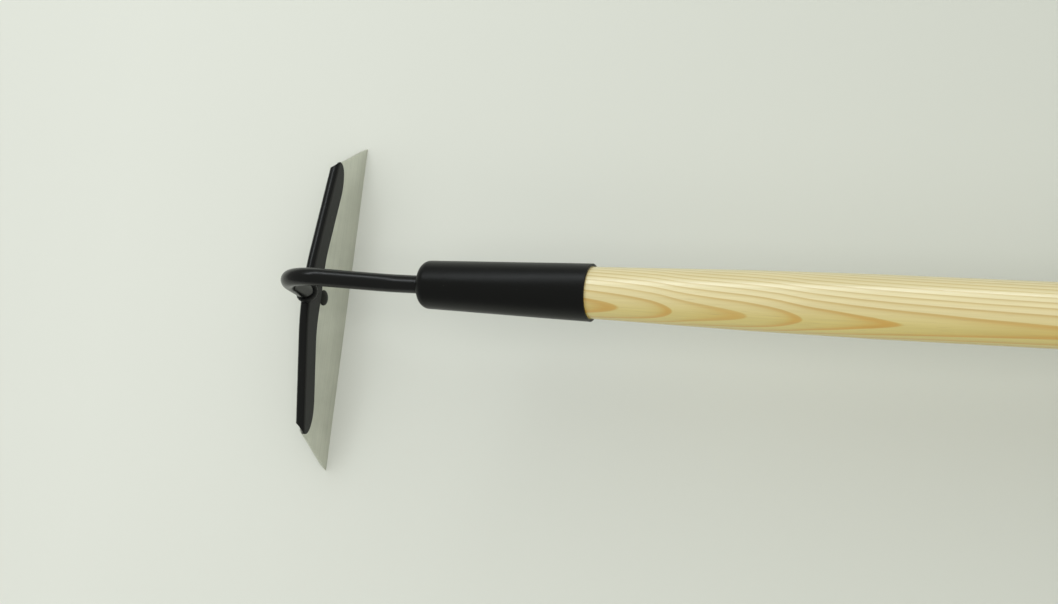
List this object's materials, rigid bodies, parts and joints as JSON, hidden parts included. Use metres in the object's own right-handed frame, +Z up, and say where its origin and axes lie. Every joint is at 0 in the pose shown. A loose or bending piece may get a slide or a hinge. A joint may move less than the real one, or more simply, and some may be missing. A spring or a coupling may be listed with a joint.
{
  "type": "trapezoid hoe",
  "caption": "Long-handled hoe: a flat trapezoid blade in a folded steel holder, on a bent rod neck with a tapered ferrule and a round wooden handle.",
  "frame": {"origin": "on the floor, in the plane of symmetry, under the middle of the hoe's length as it lies at rest on its cutting edge and its butt", "axes": "+X along the handle towards the butt, +Y along the cutting edge, +Z up from the floor"},
  "size_m": [1.6156, 0.1778, 0.0855],
  "materials": {
    "wood": "clear-coated pale softwood with straight grain and tan latewood lines",
    "black_coat": "satin black powder coat",
    "black_screw": "black oxide",
    "blade_steel": "satin rolled spring steel with a ground cutting edge",
    "zinc": "bright zinc plate"
  },
  "bodies": {
    "root": {"handle": "wood", "ferrule": "black_coat", "ferrule_screw": "black_screw", "neck": "black_coat", "nose_weld": "black_coat", "spine_weld": "black_coat", "blade_holder": "black_coat", "blade": "blade_steel", "blade_bolt": "black_screw", "bolt_washer": "zinc", "bolt_nut": "zinc"}
  },
  "joints": []
}
